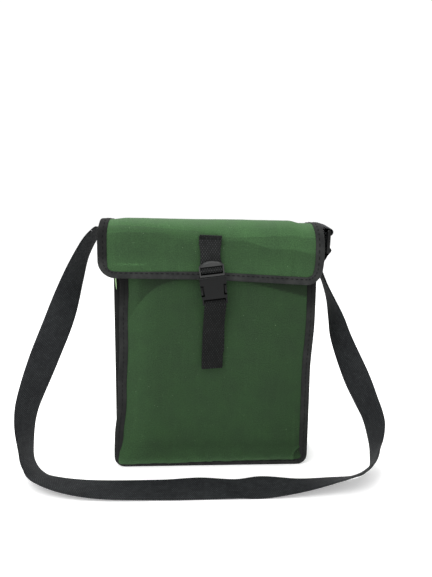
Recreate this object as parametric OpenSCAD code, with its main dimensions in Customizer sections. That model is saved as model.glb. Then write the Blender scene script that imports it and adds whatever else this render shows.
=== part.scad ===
/* [Bag body] */
// Width of the front panel over its binding
front_w = 240; // [200:1:260]
// Width of the back panel over its binding
back_w = 268; // [240:1:290]
// Depth over both bindings at the base
depth = 66; // [50:1:90]
// Height of the mouth, where the gusset and front panel end
mouth_z = 298; // [240:1:300]
// Radius of the bottom corners
corner_r = 22; // [14:1:40]
// How far the front panel bulges past its seams
front_bulge = 7; // [0:0.5:7]

/* [Cloth and tape] */
// Thickness of the coated canvas
cloth = 1.2; // [0.8:0.1:1.4]
// Thickness of one layer of binding tape
tape = 1; // [0.6:0.1:1.2]
// Width of the seam that the tape wraps at the sides
seam = 10; // [8:1:12]
// Width of the seam along the bottom
base_seam = 7; // [5:1:9]
// Thickness of the stiffening board in the base
board = 2.2; // [1.5:0.1:3]

/* [Flap] */
// Width of the flap over its binding
flap_w = 268; // [250:1:290]
// Height of the flap's outside above the floor
flap_top = 306.5; // [306:0.5:312]
// Lowest point of the flap's front drop
flap_bottom = 238; // [225:1:250]
// How far the front drop stands ahead of the bag's middle
flap_front = 43; // [42:0.5:50]
// Radius of the fold along the flap's front top edge
fold_r = 16; // [8:1:24]
// Width of the tape on the flap's edges
flap_tape_w = 11; // [9:0.5:14]
// Radius of the flap's front corners
flap_corner_r = 20; // [12:1:30]

/* [Closure] */
// Width of the closure webbing
closure_w = 25.4; // [20:0.1:25.6]
// Height of the stitched hem at the top of the closure webbing
hem_z = 290; // [284:1:292]
// Height of the plug's curved top lip
buckle_z = 261.5; // [258:0.5:264]
// Sideways place of the buckle's lip
buckle_x = -6.2; // [-10:0.1:10]
// Lean of the buckle, lower end towards +X
buckle_lean = 7; // [0:0.1:8]
// Outside width of the buckle
buckle_w = 31; // [31:0.5:36]
// Height of the raw lower end of the loose webbing tail
tail_z = 131; // [110:1:150]

/* [Shoulder strap] */
// Width of the shoulder webbing
strap_w = 38; // [30:1:38]
// Thickness of the shoulder webbing
strap_t = 1.6; // [1.2:0.1:1.8]
// Depth position of both strap anchors
strap_y = 6; // [0:1:6]
// Distance of the slider's plane from the bag's middle
slider_x = 147.5; // [147:0.5:150]

/* [Hidden] */
$fn = 48;
past = 60; // how far a cutting shape runs past what it cuts
slice = 0.01;
green = [0.2, 0.33, 0.2];
dark_green = [0.16, 0.27, 0.16];
black = [0.19, 0.19, 0.2];
plastic = [0.16, 0.17, 0.17];

// Seam layers, counted inwards from the outside face of a binding
flange_out = tape + cloth;
flange_in = tape + 2 * cloth;
seam_t = 2 * tape + 2 * cloth;
seam_r = corner_r - seam + 2; // radius of the seam's inner edge at the bottom corners
front_half = front_w / 2 - tape;
back_half = back_w / 2 - tape;
front_y = -depth / 2;
back_y = depth / 2;
back_rise = 2; // how far the back panel runs above the mouth, under the flap's hinge
gusset_span = depth - 2 * flange_in;
gusset_z = tape + base_seam;
splay = atan((back_half - front_half) / gusset_span);

// Flap layers, counted inwards from the outside face of its binding
lining = 1;
flap_core = cloth + lining;
flap_t = flap_core + 2 * tape;
hinge_y = 36;
hinge_gap = 0.6;
flap_inner_r = 10;

board_gap = 0.3;
board_ease = 1;
mouth_tape_h = 10;
mouth_ends = 5; // how much shorter the side lengths of tape are than the gusset's walls

// Closure webbing and bars; heights are counted down from the plug's lip
web_t = 1.6;
bar_r = 2;
bar_gap = 0.3;
loop_r = bar_r + bar_gap + web_t / 2;
layer_gap = 0.2;
hem_h = 6;
loop_top = 3;
hem_bead = 0.1; // how far the folded hem stands proud of the webbing
plug_y = -flap_front - 8.4;
plug_deep = 7.2;
plug_base = -18;
plug_bar = [-flap_front - 4, -10.7];
lip_h = 6.2;
lip_deep = 2.6;
lip_slope = 2; // how far the lip's rim slopes back
lip_drop = 5.4; // how far the lip's ends lie below its middle
lip_bend = 1.58; // lip's radius over half of the plug's width
plug_half = buckle_w / 2 - 1.1;
rail_w = plug_half - closure_w / 2 - 0.4;
floor_t = 2.4;
side_ease = 0.6;
tongue_w = 8;
tongue_low = -36;
arm_inset = 1.4; // how far the tongue and the arms stand in from the plug's front and back
latch_pivot = [8.2, -18.6];
arm_top = plug_base - 0.3;
arm_root = 1.4;
pad_x = buckle_w / 2 - 0.4;
arm_outline = [
    [latch_pivot[0] - arm_root, arm_top], [latch_pivot[0] + arm_root, arm_top], [12.2, -27.5],
    [pad_x, -28.8], [pad_x - 0.8, -34], [pad_x, -38.6], [12.6, -40], [9.8, -39.4], [9.6, -29]
];
cavity_half = 13.7;
cavity_low = -41;
socket_top = -18.5;
socket_low = -44;
socket_foot = -51;
socket_front = plug_y - 2;
socket_deep = plug_deep + 3;
socket_side = [[0, socket_top], [0, -26], [0.4, -41.5], [1.6, socket_low]]; // inset and height
ridge_r = 1; // raised edge along the socket's mouth
socket_wall = 1.8;
window = [8.6, 12.6]; // cut into each side of the socket for a pad: width and height
window_low = -40.3;
ear = [13.7, 1.7, 8]; // lugs that hold the bar: half spacing, thickness and height
socket_bar = [-47.5, -48.4];
tail_x = buckle_x + 5.5;
tail_lean = 2.2;
tail_y = -43.2;
tail_leg_y = -41.6;
sewn_gap = 9.6; // from the socket's bar down to the webbing sewn on the front panel
sewn_len = 52;
panel_gap = 0.4;

// Strap anchors, in a frame whose origin is the gusset wall at the strap's middle
anchor_x = front_half - seam - cloth / 2 + (strap_y - front_y - flange_in) * tan(splay);
wrap_r = 3.3;
wrap_z = mouth_z - 1.7;
leg_low = 262; // lower end of the webbing sewn inside the gusset wall
mouth_run = [[7, mouth_z + 0.6], [13, mouth_z - 0.6]];
run_z = mouth_z - 0.6;
bend_x = 136;  // where the webbing ends of the bag stop and the swinging strap starts
bend_gap = 0.5;
slider_lx = (slider_x - anchor_x) / cos(splay);
slider_bars = [293, 281.5, 271];
slider_r = 2;
strap_loop_r = slider_r + bar_gap + strap_t / 2;
strap_right_z = 262.4;

// ---- helpers ----

function unit(v) = v / norm(v);
function side(v) = unit([-v[1], v[0]]);
function miter(p, i) =
    let (a = i == 0 ? p[1] - p[0] : p[i] - p[i - 1],
         b = i == len(p) - 1 ? a : p[i + 1] - p[i],
         n = unit(side(a) + side(b)))
    n / (n * side(a));
// Outline of a ribbon of thickness t along the points p
function ribbon(p, t) = concat(
    [for (i = [0:len(p) - 1]) p[i] + miter(p, i) * t / 2],
    [for (i = [len(p) - 1:-1:0]) p[i] - miter(p, i) * t / 2]);
// Points round the centre c from angle a to angle b
function arc(c, r, a, b, n = 10) =
    [for (i = [0:n]) let (turn = a + (b - a) * i / n) c + r * [cos(turn), sin(turn)]];

// Extrudes a Y-Z outline along X, centred
module along_x(w) {
    rotate([90, 0, 90]) translate([0, 0, -w / 2]) linear_extrude(w) children();
}
// Extrudes an X-Z outline along Y, from y0 towards +Y
module along_y(y0, t) {
    translate([0, y0 + t, 0]) rotate([90, 0, 0]) linear_extrude(t) children();
}
// Upright panel outline with round bottom corners
module pocket(half, low, high, r) {
    translate([-half, low + r]) square([2 * half, high - low - r]);
    translate([-half + r, low]) square([2 * (half - r), r + 1]);
    for (s = [-1, 1]) translate([s * (half - r), low + r]) circle(r);
}

// ---- bag body ----

// The front panel's outer face: a smooth bulge that dies out where the tapes cover it
panel_cols = 14;
panel_rows = 16;
edge_u = (front_half + tape - seam) / front_half;
bulge_top = mouth_z - mouth_tape_h;
function corner_pull(z) =
    z - tape >= corner_r ? 0 : corner_r - sqrt(pow(corner_r, 2) - pow(corner_r - z + tape, 2));
function bulge(u, z) =
    let (v = max(0, min(1, (z - base_seam) / (bulge_top - base_seam))),
         w = min(1, abs(u) / edge_u))
    front_bulge * (1 - pow(w, 3)) * (1 - pow(1 - min(v * 4, 1), 2)) * (1 - pow(v, 3));
function face_y(u, z) = front_y + tape - bulge(u, z);

module front_panel() {
    zs = concat([tape],
        [for (j = [0:panel_rows]) base_seam + (bulge_top - base_seam) * pow(j / panel_rows, 1.4)],
        [mouth_z - tape]);
    us = concat([-1], [for (i = [0:panel_cols]) edge_u * (2 * i / panel_cols - 1)], [1]);
    grid = function (dy) [for (z = zs, u = us)
        [u * (front_half - corner_pull(z)), face_y(u, z) + dy, z]];
    n = len(us);
    m = len(zs);
    count = n * m;
    quads = [for (j = [0:m - 2], i = [0:n - 2]) j * n + i];
    outer = [for (q = quads, h = [0, 1]) h == 0 ? [q, q + n, q + n + 1] : [q, q + n + 1, q + 1]];
    inner = [for (f = outer) [f[0] + count, f[2] + count, f[1] + count]];
    rim = concat(
        [for (i = [0:n - 1]) i],
        [for (j = [1:m - 1]) j * n + n - 1],
        [for (i = [n - 2:-1:0]) (m - 1) * n + i],
        [for (j = [m - 2:-1:1]) j * n]);
    edge = [for (k = [0:len(rim) - 1], h = [0, 1])
        let (a = rim[k], b = rim[(k + 1) % len(rim)])
        h == 0 ? [a, b, b + count] : [a, b + count, a + count]];
    color(green) polyhedron(concat(grid(0), grid(cloth)), concat(outer, inner, edge), convexity = 4);
}

module back_panel() {
    color(green) along_y(back_y - flange_out, cloth)
        pocket(back_half, tape, mouth_z + back_rise, corner_r - tape);
}

// Wall between the two panels: a tube that widens towards the back
module gusset_block(inset, run, high) {
    r = seam_r - inset;
    spread = run * tan(splay);
    hull() {
        along_y(front_y + flange_in - run, slice)
            pocket(front_half - seam - inset - spread, gusset_z + inset, high, r);
        along_y(back_y - flange_in + run - slice, slice)
            pocket(back_half - seam - inset + spread, gusset_z + inset, high, r);
    }
}

module gusset() {
    high = mouth_z - tape;
    color(green) difference() {
        union() {
            gusset_block(0, 0, high);
            // flanges that are sewn to the two panels
            along_y(front_y + flange_out, cloth) pocket(front_half, tape, high, corner_r - tape);
            along_y(back_y - flange_in, cloth) pocket(back_half, tape, high, corner_r - tape);
        }
        gusset_block(cloth, 2 * cloth, mouth_z + past);
    }
}

module base_board() {
    z = gusset_z + cloth + board_gap;
    front = front_half - corner_r;
    back = back_half - corner_r;
    y = gusset_span / 2 - board_ease;
    color("tan") translate([0, 0, z]) linear_extrude(board)
        polygon([[-front, -y], [front, -y], [back, y], [-back, y]]);
}

// Folded tape around a panel's edge and the gusset's flange, from y; the layers inside start at core_y
module body_binding(half, y, core_y, high) {
    color(black) difference() {
        along_y(y, seam_t) difference() {
            pocket(half + tape, 0, high, corner_r);
            pocket(half + tape - seam, base_seam, high + past, seam_r);
        }
        along_y(core_y, 2 * cloth) pocket(half, tape, high + past, corner_r - tape);
        gusset_block(0, 0.5, mouth_z + past);
    }
}

module front_binding() body_binding(front_half, front_y, front_y + tape, mouth_z);

module back_binding() body_binding(back_half, back_y - seam_t, back_y - flange_in, mouth_z + back_rise);

// Tape folded over the mouth: one length on the front panel, one on each gusset wall
module mouth_binding() {
    low = mouth_z - mouth_tape_h;
    reach = front_half - seam - cloth - 3 * layer_gap;
    wall = gusset_span / cos(splay) - mouth_ends;
    color(black) {
        tape_fold(2 * reach, [0, front_y + tape + cloth / 2, low], 0);
        for (s = [-1, 1]) tape_fold(wall, [s * (anchor_x - strap_y * tan(splay)), 0, low], s * (90 - splay));
    }
}
// A length of tape folded over a cloth edge, centred on the point at
module tape_fold(length, at, turn) {
    t = cloth + 2 * tape;
    translate(at) rotate([0, 0, turn]) difference() {
        translate([-length / 2, -t / 2, 0]) cube([length, t, mouth_tape_h]);
        translate([-length, -cloth / 2, -1]) cube([2 * length, cloth, mouth_tape_h + 1 - tape]);
    }
}

// ---- flap ----

// Space behind and under the flap's outside face moved in by inset, in the Y-Z plane
module fold_region(inset, back, low) {
    y = -flap_front + inset;
    z = flap_top - inset;
    r = fold_r - inset;
    translate([y + r, z - r]) circle(r);
    translate([y, low]) square([2 * r, z - r - low]);
    translate([y + r, low]) square([back - y - r, z - low]);
}
// Part of the flap's thickness between two depths below its outside face
module flap_layer(outer, inner, half) {
    along_x(2 * half) difference() {
        fold_region(outer, hinge_y - hinge_gap, flap_bottom);
        fold_region(inner, hinge_y + past, flap_bottom - past);
    }
}
// Front view of the flap, as a block through its whole depth
module flap_block(inset, r) {
    along_y(-past, 2 * past) pocket(flap_w / 2 - inset, flap_bottom + inset, flap_top + past, r);
}

module flap_panel() {
    color(green) intersection() {
        flap_layer(tape, tape + cloth, flap_w / 2);
        flap_block(tape, flap_corner_r - tape);
    }
}

module flap_lining() {
    color(dark_green) intersection() {
        flap_layer(tape + cloth, tape + flap_core, flap_w / 2);
        flap_block(tape, flap_corner_r - tape);
    }
}

module flap_binding() {
    color(black) difference() {
        intersection() {
            flap_layer(0, flap_t, flap_w / 2);
            flap_block(0, flap_corner_r);
        }
        intersection() {
            flap_layer(tape, tape + flap_core, flap_w);
            flap_block(tape, flap_corner_r - tape);
        }
        flap_block(flap_tape_w, flap_inner_r);
    }
}

// ---- closure ----

// Places the buckle's frame: origin at the middle of the plug's lip, Z up the buckle
module buckle_place() {
    translate([buckle_x, 0, buckle_z]) rotate([0, -buckle_lean, 0]) children();
}

// Two layers of webbing sewn under a hem; the loop round the plug's bar leans with the buckle
module flap_webbing() {
    back = plug_bar[0] + loop_r;
    front = back - web_t - layer_gap;
    loop = concat(
        [[back, loop_top], [back, plug_bar[1]]],
        arc(plug_bar, loop_r, -10, -200, 14),
        [[front - 0.8, -4], [front, -1], [front, loop_top]]);
    color(black) {
        buckle_place() along_x(closure_w) polygon(ribbon(loop, web_t));
        translate([buckle_x, 0, 0]) along_x(closure_w) {
            for (y = [front, back]) translate([y - web_t / 2, buckle_z + loop_top / 4])
                square([web_t, hem_z - buckle_z - loop_top / 4]);
            translate([front - web_t / 2 - hem_bead, hem_z - hem_h])
                square([2 * (web_t + hem_bead) + layer_gap, hem_h + hem_bead]);
        }
    }
}

// Frame with a curved lip, a bar for the webbing, a guide tongue and the roots of both arms
module buckle_plug() {
    half = plug_half;
    lip_r = half * lip_bend;
    color(plastic) buckle_place() {
        intersection() {
            translate([0, plug_y + lip_deep, -lip_r]) rotate([90, 0, 0])
                cylinder(r1 = lip_r, r2 = lip_r - lip_slope, h = lip_deep);
            translate([-half, plug_y, -lip_h]) cube([2 * half, lip_deep, lip_h + 1]);
        }
        for (s = [-1, 1])
            translate([s * (half - rail_w / 2) - rail_w / 2, plug_y, plug_base])
                cube([rail_w, plug_deep, -plug_base - lip_drop]);
        translate([-half + 1, plug_bar[0], plug_bar[1]]) rotate([0, 90, 0])
            cylinder(r = bar_r, h = 2 * half - 2);
        translate([-half + side_ease, plug_y, plug_base])
            cube([2 * (half - side_ease), plug_deep, floor_t]);
        translate([-tongue_w / 2, plug_y + arm_inset, tongue_low])
            cube([tongue_w, plug_deep - 2 * arm_inset, plug_base - tongue_low + 1]);
    }
}

// One springy arm with its grip pad, on the +X side
module latch_arm() {
    color(plastic) along_y(plug_y + arm_inset, plug_deep - 2 * arm_inset) polygon(arm_outline);
}
module latch_arm_left() {
    buckle_place() mirror([1, 0, 0]) latch_arm();
}
module latch_arm_right() {
    buckle_place() latch_arm();
}

// Flat housing with an open top, two side windows for the pads and a bar for the webbing
module buckle_socket() {
    half = buckle_w / 2;
    n = len(socket_side);
    color(plastic) buckle_place() {
        difference() {
            along_y(socket_front, socket_deep) polygon(concat(
                [for (p = socket_side) [half - p[0], p[1]]],
                [for (i = [n - 1:-1:0]) [socket_side[i][0] - half, socket_side[i][1]]]));
            translate([-cavity_half, socket_front + socket_wall, cavity_low])
                cube([2 * cavity_half, socket_deep - 3.4, past]);
            for (s = [-1, 1]) translate([s * half - window[0] / 2, socket_front - 1, window_low])
                cube([window[0], socket_deep - 0.6, window[1]]);
        }
        translate([-half, socket_front + ridge_r / 2, socket_top - ridge_r]) rotate([0, 90, 0])
            cylinder(r = ridge_r, h = 2 * half);
        for (s = [-1, 1]) translate([s * ear[0] - ear[1] / 2, socket_front + 2, socket_foot])
            cube([ear[1], socket_deep - 3, ear[2]]);
        translate([-ear[0], socket_bar[0], socket_bar[1]]) rotate([0, 90, 0])
            cylinder(r = bar_r, h = 2 * ear[0]);
    }
}

// Webbing that climbs behind the socket, turns over its bar and hangs loose in front
module closure_tail() {
    bar_z = buckle_z + socket_bar[1];
    front = socket_bar[0] - loop_r;
    turn = concat(
        [[tail_leg_y, socket_bar[1] - 6], [socket_bar[0] + loop_r, socket_bar[1] - 2]],
        arc(socket_bar, loop_r, 0, 180, 12),
        [[front, socket_bar[1] - 7]]);
    hang = [[front, -4], [front, -7], [front + 2, -12], [front + 5, -18], [tail_y - 0.6, -26],
        [tail_y, -38], [tail_y, tail_z - bar_z]];
    color(black) {
        buckle_place() along_x(closure_w) polygon(ribbon(turn, web_t));
        translate([tail_x, 0, bar_z]) rotate([0, tail_lean, 0]) along_x(closure_w)
            polygon(ribbon(hang, web_t));
    }
}

// Webbing sewn flat on the front panel under the loose tail
module front_webbing() {
    high = buckle_z + socket_bar[1] - sewn_gap;
    path = [for (i = [0:8]) let (z = high - sewn_len * i / 8) [face_y(0, z) - panel_gap - web_t / 2, z]];
    color(black) translate([tail_x, 0, 0]) along_x(closure_w - 1) polygon(ribbon(path, web_t));
}

// ---- shoulder strap ----

// Places an outline drawn outwards from the gusset wall, on the +X side
module anchor_place() {
    translate([anchor_x, strap_y, 0]) rotate([0, 0, -splay]) along_y(-strap_w / 2, strap_w) children();
}
// Sewn leg inside the gusset wall, up and over its taped mouth, and out level
mouth_turn = concat([[-wrap_r, leg_low]], arc([0, wrap_z], wrap_r, 180, 90, 6), mouth_run);

// One end of the webbing as far as the bend where the strap starts to swing
module webbing_end() {
    intersection() {
        anchor_place() polygon(ribbon(concat(mouth_turn, [[slider_lx, run_z]]), strap_t));
        translate([0, -past, 0]) cube([bend_x, 2 * past, flap_top]);
    }
}

// The strap's own end, sewn to the left gusset wall
module strap_anchor_left() {
    color(black) mirror([1, 0, 0]) webbing_end();
}

// Webbing that holds the slider, sewn to the right gusset wall
module strap_tab_right() {
    color(black) webbing_end();
}

// Outer end of that webbing, folded round the slider's top bar
module strap_tab_loop() {
    under = run_z - strap_t - layer_gap;
    path = concat(
        [[mouth_run[1][0], run_z], [slider_lx - 6, run_z]],
        arc([slider_lx, slider_bars[0]], strap_loop_r, 80, -125, 14),
        [[slider_lx - 5.5, under - 2.6], [slider_lx - 10, under], [mouth_run[1][0], under]]);
    color(black) intersection() {
        anchor_place() polygon(ribbon(path, strap_t));
        translate([bend_x + bend_gap, -past, 0]) cube([past, 2 * past, flap_top]);
    }
}

// Three-bar slider hanging edge-on from the tab
module strap_slider() {
    rail = strap_w / 2 + 2.6;
    color(plastic) translate([anchor_x, strap_y, 0]) rotate([0, 0, -splay]) translate([slider_lx, 0, 0]) {
        for (z = slider_bars) translate([0, -rail, z]) rotate([-90, 0, 0])
            cylinder(r = slider_r, h = 2 * rail);
        for (s = [-1, 1]) translate([0, s * rail, slider_bars[2] - slider_r])
            cylinder(r = slider_r, h = slider_bars[0] - slider_bars[2] + 2 * slider_r);
    }
}

// End of the shoulder strap, round the slider's lowest bar and up inside the middle one
module strap_loop_right() {
    path = concat(
        [[slider_lx - 6.8, strap_right_z]],
        arc([slider_lx, slider_bars[2]], strap_loop_r, -30, 85, 8),
        arc([slider_lx, slider_bars[1]], strap_loop_r, 215, 75, 10));
    color(black) anchor_place() polygon(ribbon(path, strap_t));
}

// Free strap: its middle line, and the direction across it from the outer to the inner edge
strap_route = [
    [[-137.4, 1.2, 297.2], [0, 1, 0]],
    [[-142, 1.2, 294.8], [0, 1, -0.15]],
    [[-148, 0, 290], [0, 1, -0.3]],
    [[-157, -1, 280], [0.15, 1, -0.3]],
    [[-167, -3, 262], [0.3, 1, -0.25]],
    [[-177, -6, 233], [0.5, 0.8, -0.3]],
    [[-192, -10, 184], [0.75, 0.6, -0.35]],
    [[-212, -14, 134], [0.75, 0.6, -0.45]],
    [[-230, -19, 84], [0.55, 0.8, -0.4]],
    [[-234, -25, 60], [0.4, 0.9, -0.3]],
    [[-232, -34, 38], [0.22, 0.9, -0.3]],
    [[-226, -46, 20], [0.05, 0.9, -0.3]],
    [[-213, -60, 11], [-0.06, 0.9, -0.26]],
    [[-194, -74, 8], [-0.08, 0.9, -0.2]],
    [[-162, -83, 5], [-0.06, 1, -0.1]],
    [[-122, -87, 3], [0, 1, 0]],
    [[-60, -88, 2], [0, 1, 0.05]],
    [[0, -88, 2], [0, 1, 0.05]],
    [[50, -88, 2], [0, 1, 0.03]],
    [[98, -88, 5], [0.05, 1, -0.15]],
    [[132, -87, 9], [0.1, 0.95, -0.33]],
    [[160, -87, 14], [0.25, 0.85, -0.46]],
    [[180, -77, 16], [0.33, 0.82, -0.48]],
    [[196, -60, 19], [0.3, 0.85, -0.42]],
    [[205, -43, 27], [0, 0.9, -0.4]],
    [[208, -30, 44], [-0.3, 0.85, -0.45]],
    [[205, -24, 62], [-0.4, 0.75, -0.5]],
    [[197, -18, 82], [-0.5, 0.7, -0.5]],
    [[185, -14, 110], [-0.6, 0.65, -0.5]],
    [[166, -9, 156], [-0.45, 0.85, -0.4]],
    [[158, -7, 184], [-0.25, 0.95, -0.3]],
    [[151, -4, 209], [0, 0.95, -0.2]],
    [[144, -2, 234], [0.2, 1, -0.15]],
    [[140, -1, 249], [0.24, 1, -0.1]],
    [[140.8, 0, 259.6], [0.23, 1, 0]]
];
strap_steps = 2;

// Smooth curve from b to c that also heeds the neighbours a and d
function spline(a, b, c, d, t) =
    0.5 * (2 * b + (c - a) * t + (2 * a - 5 * b + 4 * c - d) * pow(t, 2)
        + (3 * b - a - 3 * c + d) * pow(t, 3));
last = len(strap_route) - 1;
function station(k, i, t) = let (r = strap_route)
    spline(r[max(i - 1, 0)][k], r[i][k], r[min(i + 1, last)][k], r[min(i + 2, last)][k], t);
strap_rings = [for (j = [0:last * strap_steps])
    let (i = min(floor(j / strap_steps), last - 1), t = j / strap_steps - i)
    [station(0, i, t), station(1, i, t)]];
// Corners of the flat section, with its edges eased
edge_ease = 0.4;
strap_section = let (w = strap_w / 2, h = strap_t / 2, c = edge_ease)
    [[w, -h + c], [w, h - c], [w - c, h], [-w + c, h]];

module shoulder_strap() {
    n = len(strap_rings);
    ring = concat(strap_section, -strap_section);
    m = len(ring);
    points = [for (j = [0:n - 1])
        let (p = strap_rings[j][0],
             along = unit(strap_rings[min(j + 1, n - 1)][0] - strap_rings[max(j - 1, 0)][0]),
             w = strap_rings[j][1],
             across = unit(w - along * (w * along)),
             up = cross(along, across))
        for (q = ring) p + across * q[0] + up * q[1]];
    sides = [for (j = [0:n - 2], k = [0:m - 1], h = [0, 1])
        let (a = j * m + k, b = j * m + (k + 1) % m)
        h == 0 ? [a, b, b + m] : [a, b + m, a + m]];
    ends = [[for (k = [m - 1:-1:0]) k], [for (k = [0:m - 1]) (n - 1) * m + k]];
    color(black) polyhedron(points, concat(sides, ends), convexity = 10);
}

front_panel();
back_panel();
gusset();
base_board();
front_binding();
back_binding();
mouth_binding();
flap_panel();
flap_lining();
flap_binding();
flap_webbing();
buckle_plug();
latch_arm_left();
latch_arm_right();
buckle_socket();
closure_tail();
front_webbing();
strap_anchor_left();
strap_tab_right();
strap_tab_loop();
strap_slider();
strap_loop_right();
shoulder_strap();
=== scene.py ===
"""Cash deposit bag: the visual model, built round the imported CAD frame.

Lengths are in millimetres until make() turns them into metres.
"""
import math

import bmesh
import bpy
from mathutils import Matrix, Vector, noise


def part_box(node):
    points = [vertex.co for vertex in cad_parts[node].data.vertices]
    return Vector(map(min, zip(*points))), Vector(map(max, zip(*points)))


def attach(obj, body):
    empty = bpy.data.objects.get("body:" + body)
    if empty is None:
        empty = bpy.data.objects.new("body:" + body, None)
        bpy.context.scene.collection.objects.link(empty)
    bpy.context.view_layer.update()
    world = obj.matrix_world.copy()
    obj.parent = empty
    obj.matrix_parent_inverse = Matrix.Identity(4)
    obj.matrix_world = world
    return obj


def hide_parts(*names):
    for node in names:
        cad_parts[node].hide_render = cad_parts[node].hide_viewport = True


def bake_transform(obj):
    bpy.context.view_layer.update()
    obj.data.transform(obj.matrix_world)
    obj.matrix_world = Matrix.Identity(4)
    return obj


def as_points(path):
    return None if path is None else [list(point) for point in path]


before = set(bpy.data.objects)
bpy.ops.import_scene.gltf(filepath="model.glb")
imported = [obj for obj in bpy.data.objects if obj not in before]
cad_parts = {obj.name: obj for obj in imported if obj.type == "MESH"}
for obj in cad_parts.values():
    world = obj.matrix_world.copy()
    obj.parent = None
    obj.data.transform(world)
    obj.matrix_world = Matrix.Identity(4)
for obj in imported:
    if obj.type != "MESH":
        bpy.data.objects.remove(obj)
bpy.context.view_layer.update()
MM = 0.001


def clamp(v, low=0.0, high=1.0):
    return max(low, min(high, v))


def smooth(v):
    v = clamp(v)
    return v * v * (3 - 2 * v)


def bell(v, width):
    """1 at zero, falling away smoothly on both sides."""
    return math.exp(-(v / width) ** 2)


def wave(a, b=0.0, seed=0.0):
    """Smooth noise from -1 to 1."""
    return noise.noise(Vector((a, b, seed)))


def node_box(name):
    low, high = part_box(name)
    return low / MM, high / MM


def placed(name, data):
    """A new object in the scene."""
    thing = bpy.data.objects.new(name, data)
    bpy.context.collection.objects.link(thing)
    return thing


def rides(piece, body, slot, *nodes):
    """A piece that moves with one body, in place of the CAD nodes named."""
    if nodes:
        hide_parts(*nodes)
    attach(piece, body)


# ---- camera and light ----

YAW, PITCH, ROLL = math.radians(2.85), math.radians(8.1), math.radians(0.6)
EYE = (-0.026, -0.579, 0.305)

ahead = Vector((math.sin(YAW) * math.cos(PITCH), math.cos(YAW) * math.cos(PITCH), -math.sin(PITCH)))
level = Vector((math.cos(YAW), -math.sin(YAW), 0))
upright = level.cross(ahead)
right = level * math.cos(ROLL) + upright * math.sin(ROLL)
up = upright * math.cos(ROLL) - level * math.sin(ROLL)
camera = placed("camera", bpy.data.cameras.new("camera"))
camera.data.lens = 28.7
camera.data.sensor_width = 36
camera.data.clip_start = 0.01
camera.matrix_world = Matrix((
    (right.x, up.x, -ahead.x, EYE[0]),
    (right.y, up.y, -ahead.y, EYE[1]),
    (right.z, up.z, -ahead.z, EYE[2]),
    (0, 0, 0, 1)))
bpy.context.scene.camera = camera
bpy.context.scene.view_settings.view_transform = "Standard"


def area_light(name, place, target, size, power):
    data = bpy.data.lights.new(name, "AREA")
    data.size = size
    data.energy = power
    lamp = placed(name, data)
    lamp.location = place
    lamp.rotation_euler = (Vector(target) - Vector(place)).to_track_quat("-Z", "Y").to_euler()


area_light("key_light", (-0.5, -0.7, 1.3), (0, 0, 0.2), 0.8, 9)
area_light("top_light", (-0.08, 0.4, 1.5), (0, 0, 0.3), 0.9, 14)
world = bpy.data.worlds.new("studio")
world.use_nodes = True
world.node_tree.nodes["Background"].inputs["Color"].default_value = (1, 1, 1, 1)
world.node_tree.nodes["Background"].inputs["Strength"].default_value = 1.02
bpy.context.scene.world = world


# ---- materials ----

class Graph:
    """Short calls for building a material's nodes."""

    def __init__(self, name):
        self.material = bpy.data.materials.new(name)
        self.material.use_nodes = True
        self.tree = self.material.node_tree
        self.surface = self.tree.nodes["Principled BSDF"]

    def put(self, socket, value):
        if isinstance(value, bpy.types.NodeSocket):
            self.tree.links.new(value, socket)
        else:
            socket.default_value = value

    def add(self, kind, out=0, props=None, **inputs):
        node = self.tree.nodes.new("ShaderNode" + kind)
        for key, value in (props or {}).items():
            setattr(node, key, value)
        for key, value in inputs.items():
            place = int(key[1:]) if key[0] == "i" and key[1:].isdigit() else key.replace("_", " ")
            self.put(node.inputs[place], value)
        return node.outputs[out]

    def math(self, operation, a, b=0.0, limit=False):
        return self.add("Math", props={"operation": operation, "use_clamp": limit}, i0=a, i1=b)

    def axes(self, vector):
        """The first two numbers of a vector."""
        first = self.add("SeparateXYZ", i0=vector)
        return first, first.node.outputs[1]

    def scaled(self, colour, factor):
        return self.add("VectorMath", props={"operation": "SCALE"}, i0=colour, Scale=factor)

    def mix(self, factor, a, b):
        node = self.tree.nodes.new("ShaderNodeMix")
        node.data_type = "RGBA"
        for place, value in ((0, factor), (6, a), (7, b)):
            self.put(node.inputs[place], value)
        return node.outputs[2]

    def span(self, value, low, high, to_low=0.0, to_high=1.0):
        return self.add("MapRange", i0=value, i1=low, i2=high, i3=to_low, i4=to_high)

    def touch(self, colour, other, pattern, low, high, amount):
        """Mixes another colour in where a pattern rises from low to high."""
        return self.mix(self.math("MULTIPLY", self.span(pattern, low, high), amount), colour, other)

    def cloth(self):
        """Millimetres along and across the cloth, which each piece carries on its points."""
        return self.add("Attribute", out=1, props={"attribute_name": "cloth"})

    def noise(self, vector, scale, detail=2.0, roughness=0.5):
        return self.add("TexNoise", Vector=vector, Scale=scale, Detail=detail, Roughness=roughness)

    def stripes(self, value, pitch):
        """A sine of a length in millimetres."""
        return self.math("SINE", self.math("MULTIPLY", value, math.tau / pitch))

    def toned(self, colour):
        """The colour made lighter or darker by the tone that the piece carries on its points, on most
        pieces painted light and shade.
        """
        tone = self.add("Attribute", out=2, props={"attribute_name": "tone"})
        return self.scaled(colour, self.math("ADD", tone, 1.0))

    def bump(self, height, strength, distance):
        self.put(self.surface.inputs["Normal"],
                 self.add("Bump", Height=height, Strength=strength, Distance=distance))

    def finish(self, **inputs):
        for key, value in inputs.items():
            self.put(self.surface.inputs[key.replace("_", " ")], value)
        return self.material


def rgb(r, g, b):
    """Linear colour from an sRGB one of 0 to 255."""
    linear = [((c / 255 + 0.055) / 1.055) ** 2.4 if c > 10 else c / 255 / 12.92 for c in (r, g, b)]
    return (*linear, 1)


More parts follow.
